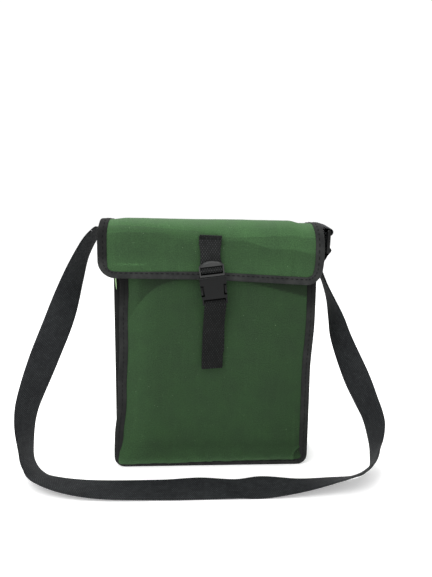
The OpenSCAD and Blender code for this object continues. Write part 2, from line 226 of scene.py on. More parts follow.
def canvas(name, base, deep, light, speck):
    g = Graph(name)
    at = g.cloth()
    along, across = g.axes(at)
    cloud = g.noise(at, 0.035, 4, 0.6)
    fine = g.noise(at, 0.9, 3, 0.7)
    grain = g.noise(at, 0.75, 2, 0.8)
    streak = g.noise(g.add("Mapping", Vector=at, Scale=(0.22, 0.03, 1)), 1.0, 3, 0.7)
    colour = g.mix(g.span(cloud, 0.38, 0.64), deep, base)
    colour = g.touch(colour, light, fine, 0.35, 0.75, 0.5)
    colour = g.touch(colour, light, streak, 0.50, 0.74, 0.14)
    colour = g.scaled(colour, g.span(grain, 0.3, 0.7, 0.62, 1.12))
    scuff = g.noise(g.add("Mapping", Vector=at, Scale=(0.05, 0.9, 1)), 1.0, 4, 0.75)
    colour = g.touch(colour, speck, scuff, 0.66, 0.76, 0.4)
    fleck = g.noise(at, 0.55, 1, 0.5)
    colour = g.touch(colour, speck, fleck, 0.76, 0.82, 0.7)
    colour = g.toned(colour)
    weave = g.math("MULTIPLY", g.stripes(along, 1.1), g.stripes(across, 1.1))
    height = g.math("ADD", g.math("MULTIPLY", weave, 0.5), g.math("MULTIPLY", fine, 0.8))
    g.bump(height, 0.45, 0.0002)
    return g.finish(Base_Color=colour, Roughness=g.span(cloud, 0.3, 0.7, 0.66, 0.78),
                    Specular_IOR_Level=0.16)


def tape_cloth(name, base, light):
    g = Graph(name)
    at = g.cloth()
    along, across = g.axes(at)
    fine = g.noise(at, 1.3, 3, 0.7)
    cloud = g.noise(at, 0.06, 3, 0.6)
    rib = g.math("MULTIPLY", g.stripes(along, 1.2), g.stripes(across, 0.9))
    colour = g.mix(g.span(cloud, 0.35, 0.68, 0.0, 0.8), base, light)
    colour = g.toned(g.touch(colour, light, fine, 0.45, 0.8, 0.4))
    g.bump(g.math("ADD", g.math("MULTIPLY", rib, 0.6), fine), 0.5, 0.0002)
    return g.finish(Base_Color=colour, Roughness=0.82, Specular_IOR_Level=0.14)


def webbing_cloth(name, base, light, long, wide, fleck):
    g = Graph(name)
    at = g.cloth()
    along, across = g.axes(at)
    cross = g.math("MULTIPLY", g.stripes(g.math("ADD", along, long / 4), long),
                   g.stripes(g.math("ADD", across, wide / 4), wide))
    fine = g.noise(at, 1.6, 3, 0.7)
    cloud = g.noise(at, 0.03, 3, 0.6)
    colour = g.mix(g.span(cloud, 0.35, 0.68, 0.0, 0.6), base, light)
    # painted glints: in patches, the weave's raised points are painted much brighter
    patch = g.span(g.noise(at, 0.16, 2, 0.6), 0.34, 0.62, 0.15, 1.0)
    raised = g.span(cross, 0.35, 0.95)
    painted_glint = g.math("MULTIPLY", raised, g.math("MULTIPLY", patch, g.span(fine, 0.36, 0.6, 0.1, 1.0)))
    glint_colour = (*(min(1, c * 9) for c in light[:3]), 1)
    colour = g.mix(g.math("MULTIPLY", painted_glint, fleck), colour, glint_colour)
    g.bump(g.math("ADD", cross, fine), 0.5, 0.00022)
    return g.finish(Base_Color=g.toned(colour), Roughness=0.72, Specular_IOR_Level=0.12)


def plastic(name, base, worn, shine):
    g = Graph(name)
    at = g.add("TexCoord", out=3)
    grain = g.noise(at, 2600, 2, 0.6)
    cloud = g.noise(at, 90, 4, 0.65)
    colour = g.mix(g.span(cloud, 0.45, 0.75, 0.0, 0.6), base, worn)
    g.bump(grain, 0.12, 0.0001)
    return g.finish(Base_Color=colour, Roughness=g.span(cloud, 0.3, 0.7, 0.3, 0.42),
                    Specular_IOR_Level=shine)


def board_stuff():
    g = Graph("board")
    at = g.add("TexCoord", out=3)
    fibre = g.noise(g.add("Mapping", Vector=at, Scale=(60, 900, 60)), 1.0, 4, 0.7)
    g.bump(fibre, 0.2, 0.0002)
    return g.finish(Base_Color=g.mix(fibre, rgb(96, 92, 84), rgb(138, 132, 120)), Roughness=0.85)


GREEN = canvas("green_canvas", rgb(41, 66, 38), rgb(36, 58, 34), rgb(58, 88, 54),
               rgb(120, 146, 112))
INSIDE = canvas("green_inside", rgb(72, 98, 64), rgb(62, 86, 56), rgb(96, 122, 86),
                rgb(130, 152, 120))
PALE = canvas("pale_green", rgb(170, 205, 150), rgb(150, 190, 132), rgb(205, 228, 190),
              rgb(220, 238, 210))
TAPE = tape_cloth("black_tape", rgb(30, 31, 31), rgb(46, 47, 46))
WEAVE_LONG, WEAVE_WIDE = 4.4, 3.0  # the closure webbing's diamonds
RIB, RIB_WIDE = 2.4, 3.2  # the strap's ribs
# the last number is how strongly the weave's raised points carry painted glints
CLOSURE = webbing_cloth("closure_webbing", rgb(17, 18, 18), rgb(30, 31, 31),
                        WEAVE_LONG, WEAVE_WIDE, 0.75)
STRAP = webbing_cloth("strap_webbing", rgb(26, 27, 29), rgb(40, 42, 43), RIB, RIB_WIDE, 0.5)
THREAD = tape_cloth("thread", rgb(10, 10, 11), rgb(18, 18, 19))
PLASTIC = plastic("black_plastic", rgb(5, 6, 6), rgb(10, 11, 11), 0.2)
# the plug's plastic: the same black with real gloss, its lighter base colour a painted sheen
SHINY = plastic("glossy_plastic_painted_sheen", rgb(17, 18, 18), rgb(30, 31, 31), 0.6)
BOARD = board_stuff()


# ---- mesh helpers ----

def make(name, verts, faces, material, coords=None, tone=None, sharp=40):
    """A mesh object from millimetre points; coords are millimetres along and across its cloth."""
    mesh = bpy.data.meshes.new(name)
    mesh.from_pydata([Vector(p) * MM for p in verts], [], faces)
    if coords:
        data = mesh.attributes.new("cloth", "FLOAT_VECTOR", "POINT")
        data.data.foreach_set("vector", [c for p in coords for c in (p[0], p[1], 0.0)])
    if tone:
        mesh.attributes.new("tone", "FLOAT", "POINT").data.foreach_set("value", tone)
    shape = bmesh.new()
    shape.from_mesh(mesh)
    bmesh.ops.recalc_face_normals(shape, faces=shape.faces)
    shape.to_mesh(mesh)
    shape.free()
    mesh.polygons.foreach_set("use_smooth", [True] * len(mesh.polygons))
    mesh.set_sharp_from_angle(angle=math.radians(sharp))
    mesh.materials.append(material)
    return placed(name, mesh)


def grid_faces(n, m, start=0):
    """Quads of a grid of n by m points, row after row."""
    corners = [start + j * n + i for j in range(m - 1) for i in range(n - 1)]
    return [(c, c + 1, c + n + 1, c + n) for c in corners]


def slab(n, m):
    """Faces of a closed sheet: two grids of n by m points, outer first, and the rim between them."""
    count = n * m
    rim = [*range(n), *(j * n + n - 1 for j in range(1, m)),
           *((m - 1) * n + i for i in range(n - 2, -1, -1)), *(j * n for j in range(m - 2, 0, -1))]
    edge = [(a, b, b + count, a + count) for a, b in zip(rim, rim[1:] + rim[:1])]
    return grid_faces(n, m) + grid_faces(n, m, count) + edge


def tube(rings):
    """Points and faces of closed rings joined in turn, with both ends capped."""
    m = len(rings[0])
    faces = [(j * m + k, j * m + (k + 1) % m, (j + 1) * m + (k + 1) % m, (j + 1) * m + k)
             for j in range(len(rings) - 1) for k in range(m)]
    faces += [tuple(range(m)), tuple((len(rings) - 1) * m + k for k in range(m))]
    return [p for ring in rings for p in ring], faces


def join_tube(points, faces, rings):
    """Adds a tube to the points and faces of a mesh in the making."""
    more, quads = tube(rings)
    faces += [tuple(i + len(points) for i in face) for face in quads]
    points += more


def inward_of(run):
    """The way to the cloth's middle from a point of its outline, a quarter turn from its run."""
    return Vector((-run.y, run.x, 0))


class Line:
    """A polyline read by distance along it."""

    def __init__(self, points):
        self.points = [Vector(p) for p in points]
        self.marks = [0.0]
        for a, b in zip(self.points, self.points[1:]):
            self.marks.append(self.marks[-1] + (b - a).length)
        self.length = self.marks[-1]

    def at(self, distance):
        distance = clamp(distance, 0, self.length)
        k = 0
        while k < len(self.marks) - 2 and self.marks[k + 1] < distance:
            k += 1
        part = (distance - self.marks[k]) / max(self.marks[k + 1] - self.marks[k], 1e-9)
        return self.points[k].lerp(self.points[k + 1], part)

    def along(self, distance, reach=1.0):
        a = clamp(distance - reach, 0, self.length)
        b = clamp(distance + reach, 0, self.length)
        return (self.at(b) - self.at(a)).normalized()


def flat_line(outline):
    """A line from (x, y) points."""
    return Line([(*p, 0) for p in outline])


def pocket(half, low, high, radius, arc_steps=14):
    """Outline down the left side, along the bottom and up the right side, in a plane."""
    points = [(-half, high)]
    for centre, start in ((-half + radius, math.pi), (half - radius, 1.5 * math.pi)):
        for k in range(arc_steps + 1):
            turn = start + k / arc_steps * math.pi / 2
            points.append((centre + radius * math.cos(turn), low + radius + radius * math.sin(turn)))
    return points + [(half, high)]


TAPE_SKIN, TAPE_FOLD = 0.9, 1.7  # the tape's thickness, and where its hollow ends inside the fold


def edge_tape(name, line, width, place, thick, shade, step=2.5):
    """Tape folded over an edge. place(p, depth) puts a plane point in space, below the outer face."""
    count = int(line.length / step)
    rings, coords, tone = [], [], []
    for k in range(count + 1):
        distance = line.length * k / count
        p, t = line.at(distance), line.along(distance)
        w = width(p) + 0.25 * wave(distance / 17, 3.1)
        puff = 0.16 + 0.12 * wave(distance / 9, 7.7)
        near = [(w, 0.3), (w - 0.5, 0.02), (w * 0.7, 0.12), (w * 0.42, -puff), (1.3, -0.05),
                (0.4, 0.5), (0, thick * 0.36)]
        far = [(d, thick - o) for d, o in reversed(near)]
        hollow = [(w, thick - TAPE_SKIN), (TAPE_FOLD, thick - TAPE_SKIN), (1.0, thick / 2),
                  (TAPE_FOLD, TAPE_SKIN), (w, TAPE_SKIN)]
        section = near + far + hollow
        rings.append([place(p + inward_of(t) * d, o) for d, o in section])
        coords += [(distance, d + o * 3) for d, o in section]
        tone += [shade(p)] * len(section)
    return make(name, *tube(rings), TAPE, coords, tone)


STITCH_PITCH, STITCH_LONG, STITCH_ENDS = 6.0, 3.7, 3.0
THREAD_SIDES = 6


def stitches(name, line, place, inset, depth, radius=0.38):
    """Running stitches, inset from an outline, each a small raised thread."""
    points, faces = [], []
    total = line.length - 2 * STITCH_ENDS
    for k in range(int(total / STITCH_PITCH)):
        start = STITCH_ENDS + (k + 0.2) * STITCH_PITCH
        spine = []
        for part in (0.0, 0.15, 0.5, 0.85, 1.0):
            distance = start + part * STITCH_LONG
            q = line.at(distance) + inward_of(line.along(distance)) * inset
            low, high = place(q, depth + 0.5), place(q, depth)
            spine.append((high, (high - low).normalized()))
        run = (spine[-1][0] - spine[0][0]).normalized()
        rings = []
        for (centre, out), size in zip(spine, (0.35, 0.85, 1.0, 0.85, 0.35)):
            flank = run.cross(out).normalized()
            ring = []
            for j in range(THREAD_SIDES):
                turn = math.tau * j / THREAD_SIDES
                spoke = (flank * math.cos(turn) + out * math.sin(turn)) * radius * size
                ring.append(centre + spoke + out * (size - 0.7) * radius)
            rings.append(ring)
        join_tube(points, faces, rings)
    return make(name, points, faces, THREAD, [(p[0], p[2]) for p in points])


BACK_WEAVE = 60  # how far across the cloth the back's own pattern starts


def webbing(name, stations, width, relief, material, columns, tone=0.0):
    """Flat webbing through (centre, across) stations. relief(s, t) is its weave's height."""
    rings, coords = [], []
    distance = 0.0
    n = len(stations)
    for k, (centre, across) in enumerate(stations):
        if k:
            distance += (centre - stations[k - 1][0]).length
        run = (stations[min(k + 1, n - 1)][0] - stations[max(k - 1, 0)][0]).normalized()
        across = (across - run * across.dot(run)).normalized()
        out = run.cross(across)
        half = (width(distance) if callable(width) else width) / 2 + relief(distance, 0.0)
        ring = []
        for sign in (1, -1):
            for i in range(columns):
                t = sign * (1 - 2 * i / (columns - 1))
                edge = math.sqrt(max(0.0, 1 - abs(t) ** 14)) * 0.75 + 0.25
                height = relief(distance, t * half) * (1 if abs(t) < 0.97 else 0)
                ring.append(centre + across * t * half + out * sign * (WEB_T / 2 * edge + height))
                coords.append((distance, t * half + BACK_WEAVE * (sign < 0)))
        rings.append(ring)
    return make(name, *tube(rings), material, coords, [tone] * len(coords), sharp=60)


def spline(keys, steps):
    """A smooth curve (Catmull-Rom) through tuples of vectors; steps(a, b) gives a span's steps."""
    last = len(keys) - 1
    found = []
    for i in range(last):
        a, b, c, d = (keys[j] for j in (max(i - 1, 0), i, i + 1, min(i + 2, last)))
        count = steps(b, c)
        for k in range(count + (i == last - 1)):
            t = k / count
            found.append(tuple(
                0.5 * (2 * q + (r - p) * t + (2 * p - 5 * q + 4 * r - s) * t * t
                       + (3 * q - p - 3 * r + s) * t ** 3)
                for p, q, r, s in zip(a, b, c, d)))
    return found


# ---- shoulder strap: the free cord ----

# Middle line and the direction across it: the CAD's route, with its ends and lowest run moved
ROUTE = [
    ((-136.6, 1.2, 298.6), (0, 1, 0)), ((-142, 1.2, 296.4), (0, 1, -0.15)),
    ((-147.5, 0, 291.4), (0, 1, -0.3)), ((-155.4, -1, 280.6), (0.12, 1, -0.3)),
    ((-165, -3, 262), (0.26, 1, -0.25)), ((-175.6, -6, 233), (0.46, 0.84, -0.3)),
    ((-192, -10, 184), (0.75, 0.6, -0.35)), ((-212, -14, 134), (0.75, 0.6, -0.45)),
    ((-230, -19, 84), (0.55, 0.8, -0.4)), ((-234, -25, 60), (0.4, 0.9, -0.3)),
    ((-232, -34, 38), (0.22, 0.9, -0.3)), ((-226, -46, 20), (0.05, 0.9, -0.3)),
    ((-213, -60, 11), (-0.06, 0.9, -0.26)), ((-194, -74, 8), (-0.08, 0.9, -0.2)),
    ((-162, -83, 5), (-0.06, 1, -0.1)), ((-122, -87, 3), (0, 1, 0)),
    ((-60, -88, 2.4), (0, 1, 0.05)), ((-18, -88, 3.2), (0, 1, 0.11)), ((24, -88, 2), (0, 1, 0.02)),
    ((56, -88, 3.4), (0, 1, 0.12)), ((98, -88, 5), (0.05, 1, -0.15)),
    ((132, -87, 9), (0.1, 0.95, -0.33)), ((160, -87, 14), (0.25, 0.85, -0.46)),
    ((180, -77, 16), (0.33, 0.82, -0.48)), ((196, -60, 19), (0.3, 0.85, -0.42)),
    ((205, -43, 27), (0, 0.9, -0.4)), ((208, -30, 44), (-0.3, 0.85, -0.45)),
    ((205, -24, 62), (-0.4, 0.75, -0.5)), ((197, -18, 82), (-0.5, 0.7, -0.5)),
    ((185, -14, 110), (-0.6, 0.65, -0.5)), ((166, -9, 156), (-0.45, 0.85, -0.4)),
    ((158, -7, 184), (-0.25, 0.95, -0.3)), ((150.4, -4, 209), (0, 0.95, -0.2)),
    ((141.2, -2, 232), (0.14, 1, -0.15)), ((134.6, -1, 248), (0.08, 1, -0.1)),
    ((136.8, 1, 261), (0.05, 1, 0.1)),
]
STRAP_WIDTH, WEB_T = 38, 1.6
STRAP_COLUMNS = 16  # points across the strap on each face
keys = [(Vector(p), Vector(a)) for p, a in ROUTE]
strap_stations = spline(keys, lambda b, c: max(2, round((c[0] - b[0]).length / (RIB / 2.5))))
# The first two spans belong to the end piece
split = next(k for k, s in enumerate(strap_stations) if (s[0] - keys[2][0]).length < 1e-6)


def rib(s, t):
    return 0.16 * math.cos(math.tau * s / RIB) * (1 if abs(t) < 17.6 else 0.4)


def strap_webbing(name, stations):
    return webbing(name, stations, STRAP_WIDTH, rib, STRAP, STRAP_COLUMNS)


strap = strap_webbing("shoulder_strap_webbing", strap_stations[split:])
rides(strap, "strap", "strap_webbing", "shoulder_strap")
strap_line = [s[0] * MM for s in strap_stations[split:]]
tuple(strap_line[0])
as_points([tuple(p) for p in strap_line[::8]] + [tuple(strap_line[-1])])

# ---- the bag's shell ----

front_low, front_high = node_box("front_binding")
back_high = node_box("back_binding")[1]
MOUTH = front_high.z
FRONT_HALF, BACK_HALF = front_high.x, back_high.x
FRONT_FACE, BACK_FACE = front_low.y, back_high.y
SEAM_T = front_high.y - front_low.y
CORNER = 13
SIDE_SEAM, BASE_SEAM = 10, 7
CLOTH = 1.2
TAPE_T = 1  # the tape's thickness over the cloth
CLOTH_IN = 1.2  # how far the cloth's edge stays inside the tape's
FLANGE = TAPE_T + CLOTH  # depth of a gusset flange below the outer face of its seam
# How far the body's left side draws in, in steps of (distance, height it starts at, height it takes)
LEFT_STEPS = ((2.0, 45, 35), (2.8, 100, 60), (1.8, 185, 40))
LEFT_BACK = 2.8
LEFT_FOOT = 4.2  # how far the left side stands out at its foot
RIGHT_SHOULDER = 3.2


def front_drift(x, z):
    """The front seam's slow wander in depth."""
    return 0.7 * wave(x / 70, z / 80, 1.3) * smooth(z / 40)


def settled(p):
    """The stuffed body leans: its left side draws in upwards, and its right shoulder moves out."""
    front = clamp((BACK_FACE - p.y) / (BACK_FACE - FRONT_FACE))
    left = sum(far * smooth((p.z - start) / rise) for far, start, rise in LEFT_STEPS)
    left -= LEFT_FOOT * smooth((104 - p.z) / 86)
    shift = clamp(-p.x / FRONT_HALF) * (left * front + LEFT_BACK * (1 - front))
    shift += clamp(p.x / FRONT_HALF) * RIGHT_SHOULDER * smooth((p.z - 120) / 70) * front
    return Vector((p.x + shift, p.y, p.z))


FLOOR_GAP = 0.02  # no seam goes below this height


def on_front(p, depth):
    y = FRONT_FACE + depth + front_drift(p.x, p.y)
    return settled(Vector((p.x, y, max(p.y, FLOOR_GAP))))


def on_back(p, depth):
    return settled(Vector((p.x, BACK_FACE - depth, max(p.y, FLOOR_GAP))))


def corner_pull(z, radius):
    return 0 if z >= radius else radius - math.sqrt(max(0, radius ** 2 - (radius - z) ** 2))


def lip(x):
    """How far the full front panel hangs over its bottom tape."""
    hang = 1.3 + 0.7 * smooth((-x - 20) / 80) - 0.9 * smooth(x / 60) - x / 90
    return hang + 1.2 * wave(x / 26, 4.4) + wave(x / 8, 8.1)


PLEAT = Vector((112, 12))  # the middle of the pinch at the lower right corner
PLEAT_R = 11
FOOT_OVER = 8.2  # how far the panel's lower left hangs over the tape


def foot_bulge(x, z):
    """Where the full panel hangs over the tape at its lower left."""
    return clamp((62 - z) / 55) ** 1.3 * smooth((-x - 62) / 40)


def front_swell(x, z):
    """How far the front panel stands ahead of its seam: a low roll under a broad bulge."""
    foot = smooth((46 - z) / 30)
    side = 1 - clamp(abs(x) / (FRONT_HALF - SIDE_SEAM)) ** (3.2 + 14 * foot + 10 * foot_bulge(x, z))
    high = 1 - clamp((z - BASE_SEAM) / (MOUTH - 10 - BASE_SEAM)) ** 3
    roll = 5.2 * (1 - (1 - clamp((z - BASE_SEAM + 1.5) / 9)) ** 2.2)
    roll *= 1 - 0.36 * smooth((z - 14) / 14)
    swell = side * high * (roll + 4.1 * smooth((z - 22) / 55))
    swell += 0.55 * side * wave(x / 34, z / 60, 2.2) + 0.2 * side * wave(x / 11, z / 16, 5.2)
    low = clamp((z - BASE_SEAM + 1.5) / 6)
    swell += 1.3 * side * math.exp(-max(z - 8, 0) / 10) * low * wave(x / 9, z / 30, 9.0)
    # a small pleat is pinched in at the lower right corner
    pleat = (Vector((x, z)) - PLEAT).length
    swell -= 2.6 * smooth((PLEAT_R - pleat) / 1.2) * low
    swell += 0.9 * bell(pleat - PLEAT_R - 1, 1.5) * low
    return swell


def front_painted_light_and_shade(x, z):
    """Painted shade and light: a painted flap shadow, darker above a soft arch under the flap; painted
    light towards the left edge and along the bottom roll, with painted shade in the hollow above it;
    painted shade in the pleat and light round it; two faint painted light streaks.
    """
    # where the painted flap shadow begins
    arch = 237.5 - 58 * clamp(-(x + 20) / 92) ** 3.4 - 21 * clamp((x - 6) / 100) ** 1.35
    arch -= 1.5 * wave(x / 40, 6.5)
    flap_shadow = smooth((z - arch) / 1.8) * (1 - 0.6 * smooth((-92 - x) / 10))
    # painted light towards the left edge, painted shade towards the right, and a little darker overall
    side = 0.22 * smooth((-66 - x) / 36) - 0.05 * smooth((x - 40) / 50) - 0.06
    # painted light along the bottom roll, painted shade in the hollow above it
    rim = 0.6 * bell(z - 9, 4.5) * (0.8 + 0.5 * wave(x / 13, 2.7))
    rim -= 0.12 * bell(z - 27, 10) * smooth((x + 100) / 40)
    # painted shade in the pleat's pinch, painted light round its ridge
    pleat = (Vector((x, z)) - PLEAT).length
    rim += 0.3 * bell(pleat - PLEAT_R - 1, 1.2) - 0.28 * smooth((PLEAT_R - pleat) / 1.5)
    # two faint painted light streaks
    streak = 0.07 * bell(x + 97, 2.6) * smooth((z - 62) / 12) * smooth((112 - z) / 20)
    streak += 0.08 * bell(x - 101, 1.6) * smooth((z - 18) / 8) * smooth((78 - z) / 16)
    # painted shade also deepens upwards towards the flap
    return side - 0.14 * smooth((z - 40) / 70) - 0.4 * flap_shadow + rim + streak


def layered(name, n, m, material, point):
    """A closed sheet. point(side, across, down) gives a place, its cloth coordinates and its tone."""
    found = [point(side, 2 * i / (n - 1) - 1, j / (m - 1))
             for side in (0, 1) for j in range(m) for i in range(n)]
    points, coords, tone = zip(*found)
    return make(name, points, slab(n, m), material, coords, tone)


def front_panel():
    def point(side, across, down):
        z = 2 + (MOUTH - 3) * down ** 1.35
        x = across * (FRONT_HALF - CLOTH_IN - corner_pull(z - 1, CORNER))
        swell = max(0, front_swell(x, z)) if z > BASE_SEAM - 1 else 0
        fall = lip(x) * clamp(swell / 2.0) * math.exp(-max(z - BASE_SEAM, 0) / 9)
        y = FRONT_FACE + TAPE_T + front_drift(x, z) - swell + side * CLOTH
        over = FOOT_OVER * foot_bulge(x, z) * clamp(swell / 1.5)
        place = settled(Vector((x - over, y, z - fall * (1 - side * 0.2))))
        return place, (x, z), front_painted_light_and_shade(x, z)

    return layered("front_canvas", 150, 190, GREEN, point)


def back_panel():
    def point(side, across, down):
        z = 2 + (MOUTH + 5) * down ** 1.2
        x = across * (BACK_HALF - CLOTH_IN - corner_pull(z - 1, CORNER))
        # the top right corner stays inside the flap's tape
        x -= 3.4 * clamp(x / BACK_HALF) ** 4 * smooth((z - MOUTH + 14) / 10)
        edge = (1 - clamp(abs(x) / (BACK_HALF - SIDE_SEAM)) ** 3) * smooth((z - BASE_SEAM) / 40)
        edge *= 1 - clamp(z / MOUTH) ** 5
        swell = edge * (3.0 + 0.6 * wave(x / 40, z / 60, 3.3))
        return settled(Vector((x, BACK_FACE - TAPE_T + swell - side * CLOTH, z))), (x, z), 0.0

    return layered("back_canvas", 60, 80, GREEN, point)


def gusset():
    """One strip round the sides and bottom, flanged along each seam, with a slack fold in each wall."""
    low = 1 + BASE_SEAM
    wall_front = pocket(FRONT_HALF - SIDE_SEAM, low, MOUTH - 1, CORNER - 5)
    wall_back = pocket(BACK_HALF - SIDE_SEAM, low, MOUTH - 1, CORNER - 5)
    rim_front = pocket(FRONT_HALF - CLOTH_IN, CLOTH_IN, MOUTH - 1, CORNER - CLOTH_IN)
    rim_back = pocket(BACK_HALF - CLOTH_IN, CLOTH_IN, MOUTH - 1, CORNER - CLOTH_IN)
    front_y, back_y = FRONT_FACE + FLANGE, BACK_FACE - FLANGE
    outlines = [flat_line(o) for o in (rim_front, wall_front, wall_back, rim_back)]
    m, steps = 150, 26
    points, coords = [], []
    for side in (0, 1):
        for j in range(m):
            # the four outlines are read at the same share of their length
            marks = [line.at(line.length * j / (m - 1)) for line in outlines]
            inward = inward_of(outlines[1].along(outlines[1].length * j / (m - 1)))
            row = [(marks[0], front_y + side * CLOTH, 0)]
            for k in range(steps + 1):
                t = k / steps
                p = marks[1].lerp(marks[2], t)
                y = (front_y + CLOTH) * (1 - t) + (back_y - CLOTH) * t
                high = smooth((p.y - 30) / 120)
                slack = high * (5.5 * math.sin(math.pi * t) ** 1.5 + 2.2 * bell(t - 0.5, 0.09))
                slack += 0.7 * wave(p.y / 25, t * 3, 4.0 if p.x < 0 else 6.0) * math.sin(math.pi * t)
                sunk = slack if abs(inward.x) > 0.6 else 0.4 * slack
                row.append((p + inward * (sunk + side * CLOTH), y, t))
            row.append((marks[3], back_y - side * CLOTH, 1))
            for p, y, t in row:
                drift = front_drift(p.x, p.y) * (1 - t)
                points.append(settled(Vector((p.x, y + drift, p.y))))
                coords.append((y, j * 5.5))
    return make("gusset_canvas", points, slab(steps + 3, m), GREEN, coords)


rides(front_panel(), "root", "green_canvas", "front_panel")
rides(back_panel(), "root", "green_canvas", "back_panel")
rides(gusset(), "root", "green_canvas", "gusset")


def turned_edge():
    """A turned-out strip of the gusset's pale inside, beside the flap at the upper left."""
    rings = []
    for k in range(9):
        t = k / 8
        half = 0.9 * math.sin(math.pi * (0.12 + 0.84 * t)) ** 0.6
        x, z = -129.0 + 1.6 * t, 243 - 26 * t
        rings.append([Vector((x + side * half, y, z))
                      for side, y in ((-1, 27.6), (1, 27.2), (1, 28.0), (-1, 28.4))])
    points, faces = tube(rings)
    return make("gusset_turned_edge", points, faces, PALE, [(p.x, p.z) for p in points])


rides(turned_edge(), "root", "green_canvas")


def seam_width(p):
    """Wide tape up the sides, narrower along the bottom."""
    return BASE_SEAM + (SIDE_SEAM + 0.8 - BASE_SEAM) * smooth((p.y - 4) / 20)


def seam_painted_shade(p):
    """Painted shade, darker towards the top under the flap."""
    return -0.6 * smooth((p.y - 190) / 40) - 0.15


for node, place, half, high in (("front_binding", on_front, FRONT_HALF, MOUTH),
                                ("back_binding", on_back, BACK_HALF, back_high.z)):
    seam = flat_line(pocket(half, 0, high, CORNER))
    seam_tape = edge_tape(node + "_tape", seam, seam_width, place, SEAM_T, seam_painted_shade)
    rides(seam_tape, "root", "black_tape", node)
    rides(stitches(node + "_stitches", seam, place, 5.6, -0.05), "root", "black_tape")

MOUTH_GAP = 2.8  # from the front panel's mouth tape to the side seams' tape


def mouth_tape():
    """Tape folded over the mouth of the front panel and of each gusset wall."""
    tall = MOUTH - node_box("mouth_binding")[0].z
    front_reach = FRONT_HALF - SIDE_SEAM - MOUTH_GAP
    front_y = FRONT_FACE + TAPE_T + CLOTH / 2
    runs = [(Vector((-front_reach, front_y, 0)), Vector((front_reach, front_y, 0)))]
    for s in (-1, 1):
        runs.append((Vector((s * (FRONT_HALF - SIDE_SEAM), FRONT_FACE + 5.6, 0)),
                     Vector((s * (BACK_HALF - SIDE_SEAM), BACK_FACE - 5.6, 0))))
    points, faces, coords = [], [], []
    for number, (a, b) in enumerate(runs):
        run = (b - a).normalized()
        out = Vector((run.y, -run.x, 0))
        rings = []
        steps = 60
        for k in range(steps + 1):
            t = k / steps
            centre = a.lerp(b, t)
            if number:
                # the tape follows the wall's slack
                bend = 7.7 * math.sin(math.pi * t) ** 1.5
                centre -= out * bend * (1 if out.x * centre.x > 0 else -1)
            else:
                centre.y += front_drift(centre.x, MOUTH)
            h = tall + 0.3 * wave(k / 4, number)
            half = [(1.1, 0.2), (1.7, 1), (1.8, h * 0.5), (1.7, h)]
            section = [(-o, d) for o, d in reversed(half)] + [(0, 0)] + half
            section += [(0.8, h), (0.8, 1.1), (-0.8, 1.1), (-0.8, h)]
            rings.append([settled(centre + out * o + Vector((0, 0, MOUTH - d))) for o, d in section])
            coords += [(k * 4.0, o * 3 + d) for o, d in section]
        join_tube(points, faces, rings)
    return make("mouth_tape", points, faces, TAPE, coords)


rides(mouth_tape(), "root", "black_tape", "mouth_binding")

# ---- flap ----

flap_low, flap_high = node_box("flap_binding")
FLAP_HALF, FLAP_TOP, FLAP_FOOT, FLAP_FRONT = flap_high.x, flap_high.z, flap_low.z, flap_low.y
HINGE_Y = flap_high.y
FLAP_T = 4.2
FLAP_CORNER, FLAP_TAPE = 20, 11
BACK_LAP = 14  # how far the flap's cloth runs down the back panel, where it is sewn
profile_keys = [
    (HINGE_Y + 1.5, FLAP_TOP - 8 - BACK_LAP), (HINGE_Y + 1.4, FLAP_TOP - 8),
    (HINGE_Y + 0.8, FLAP_TOP - 3), (HINGE_Y - 2.6, FLAP_TOP - 0.3), (20, FLAP_TOP - 0.2),
    (-5, FLAP_TOP - 0.1), (-20, FLAP_TOP - 0.6),
    (-29, FLAP_TOP - 3.4), (-36, FLAP_TOP - 9), (-40.2, FLAP_TOP - 16.5), (-42.2, FLAP_TOP - 25),
    (FLAP_FRONT, FLAP_TOP - 38), (FLAP_FRONT + 0.1, FLAP_TOP - 55), (FLAP_FRONT + 0.2, FLAP_FOOT)]
profile = Line([k[0] for k in spline([(Vector((0, y, z)),) for y, z in profile_keys], lambda b, c: 12)])
FLAP_LONG = profile.length
TOP_ENDS = 60  # distance down the flap's layout where its flat top is still in reach
FLAP_LEFT = 2.8  # how far left the flap sits past the hinge


def painted_band_edges(x):
    """Heights below the flap's top where its painted light band and its painted middle band end."""
    first = 7.5 + 8.5 * clamp((x + 122) / 115) + 5.5 * smooth((x + 18) / 30)
    first += 0.8 * wave(x / 19, 1.9) - 3.2 * smooth((x - 20) / 90)
    second = 17.5 + 7 * smooth((x + 70) / 62) + 6 * smooth((x - 30) / 45)
    second += 0.9 * wave(x / 24, 3.7) + 2.5 * smooth((x - 90) / 30)
    return first, second


def flap_wave(x, s):
    """The flap's own unevenness, outwards, dying away at the hinge."""
    fall = FLAP_LONG - s
    height = 0.7 * wave(x / 55, s / 45, 4.1) + 0.25 * wave(x / 15, s / 18, 6.1)
    height += 0.8 * bell(fall - 30, 16) * wave(x / 30, 5.0)
    # two shallow creases where the right half has been bent
    height += 1.1 * bell(fall - 22, 15) * bell(x - 92, 4)
    height -= 1.4 * bell(fall - 20, 10) * bell(x - 99, 3.5)
    drop = FLAP_TOP - profile.at(s).z if s > TOP_ENDS else 0
    first, second = painted_band_edges(x)
    height -= 0.45 * bell(drop - first, 2.2) + 0.4 * bell(drop - second, 2.6)
    return (height - 0.5) * smooth((s - 30) / 30)


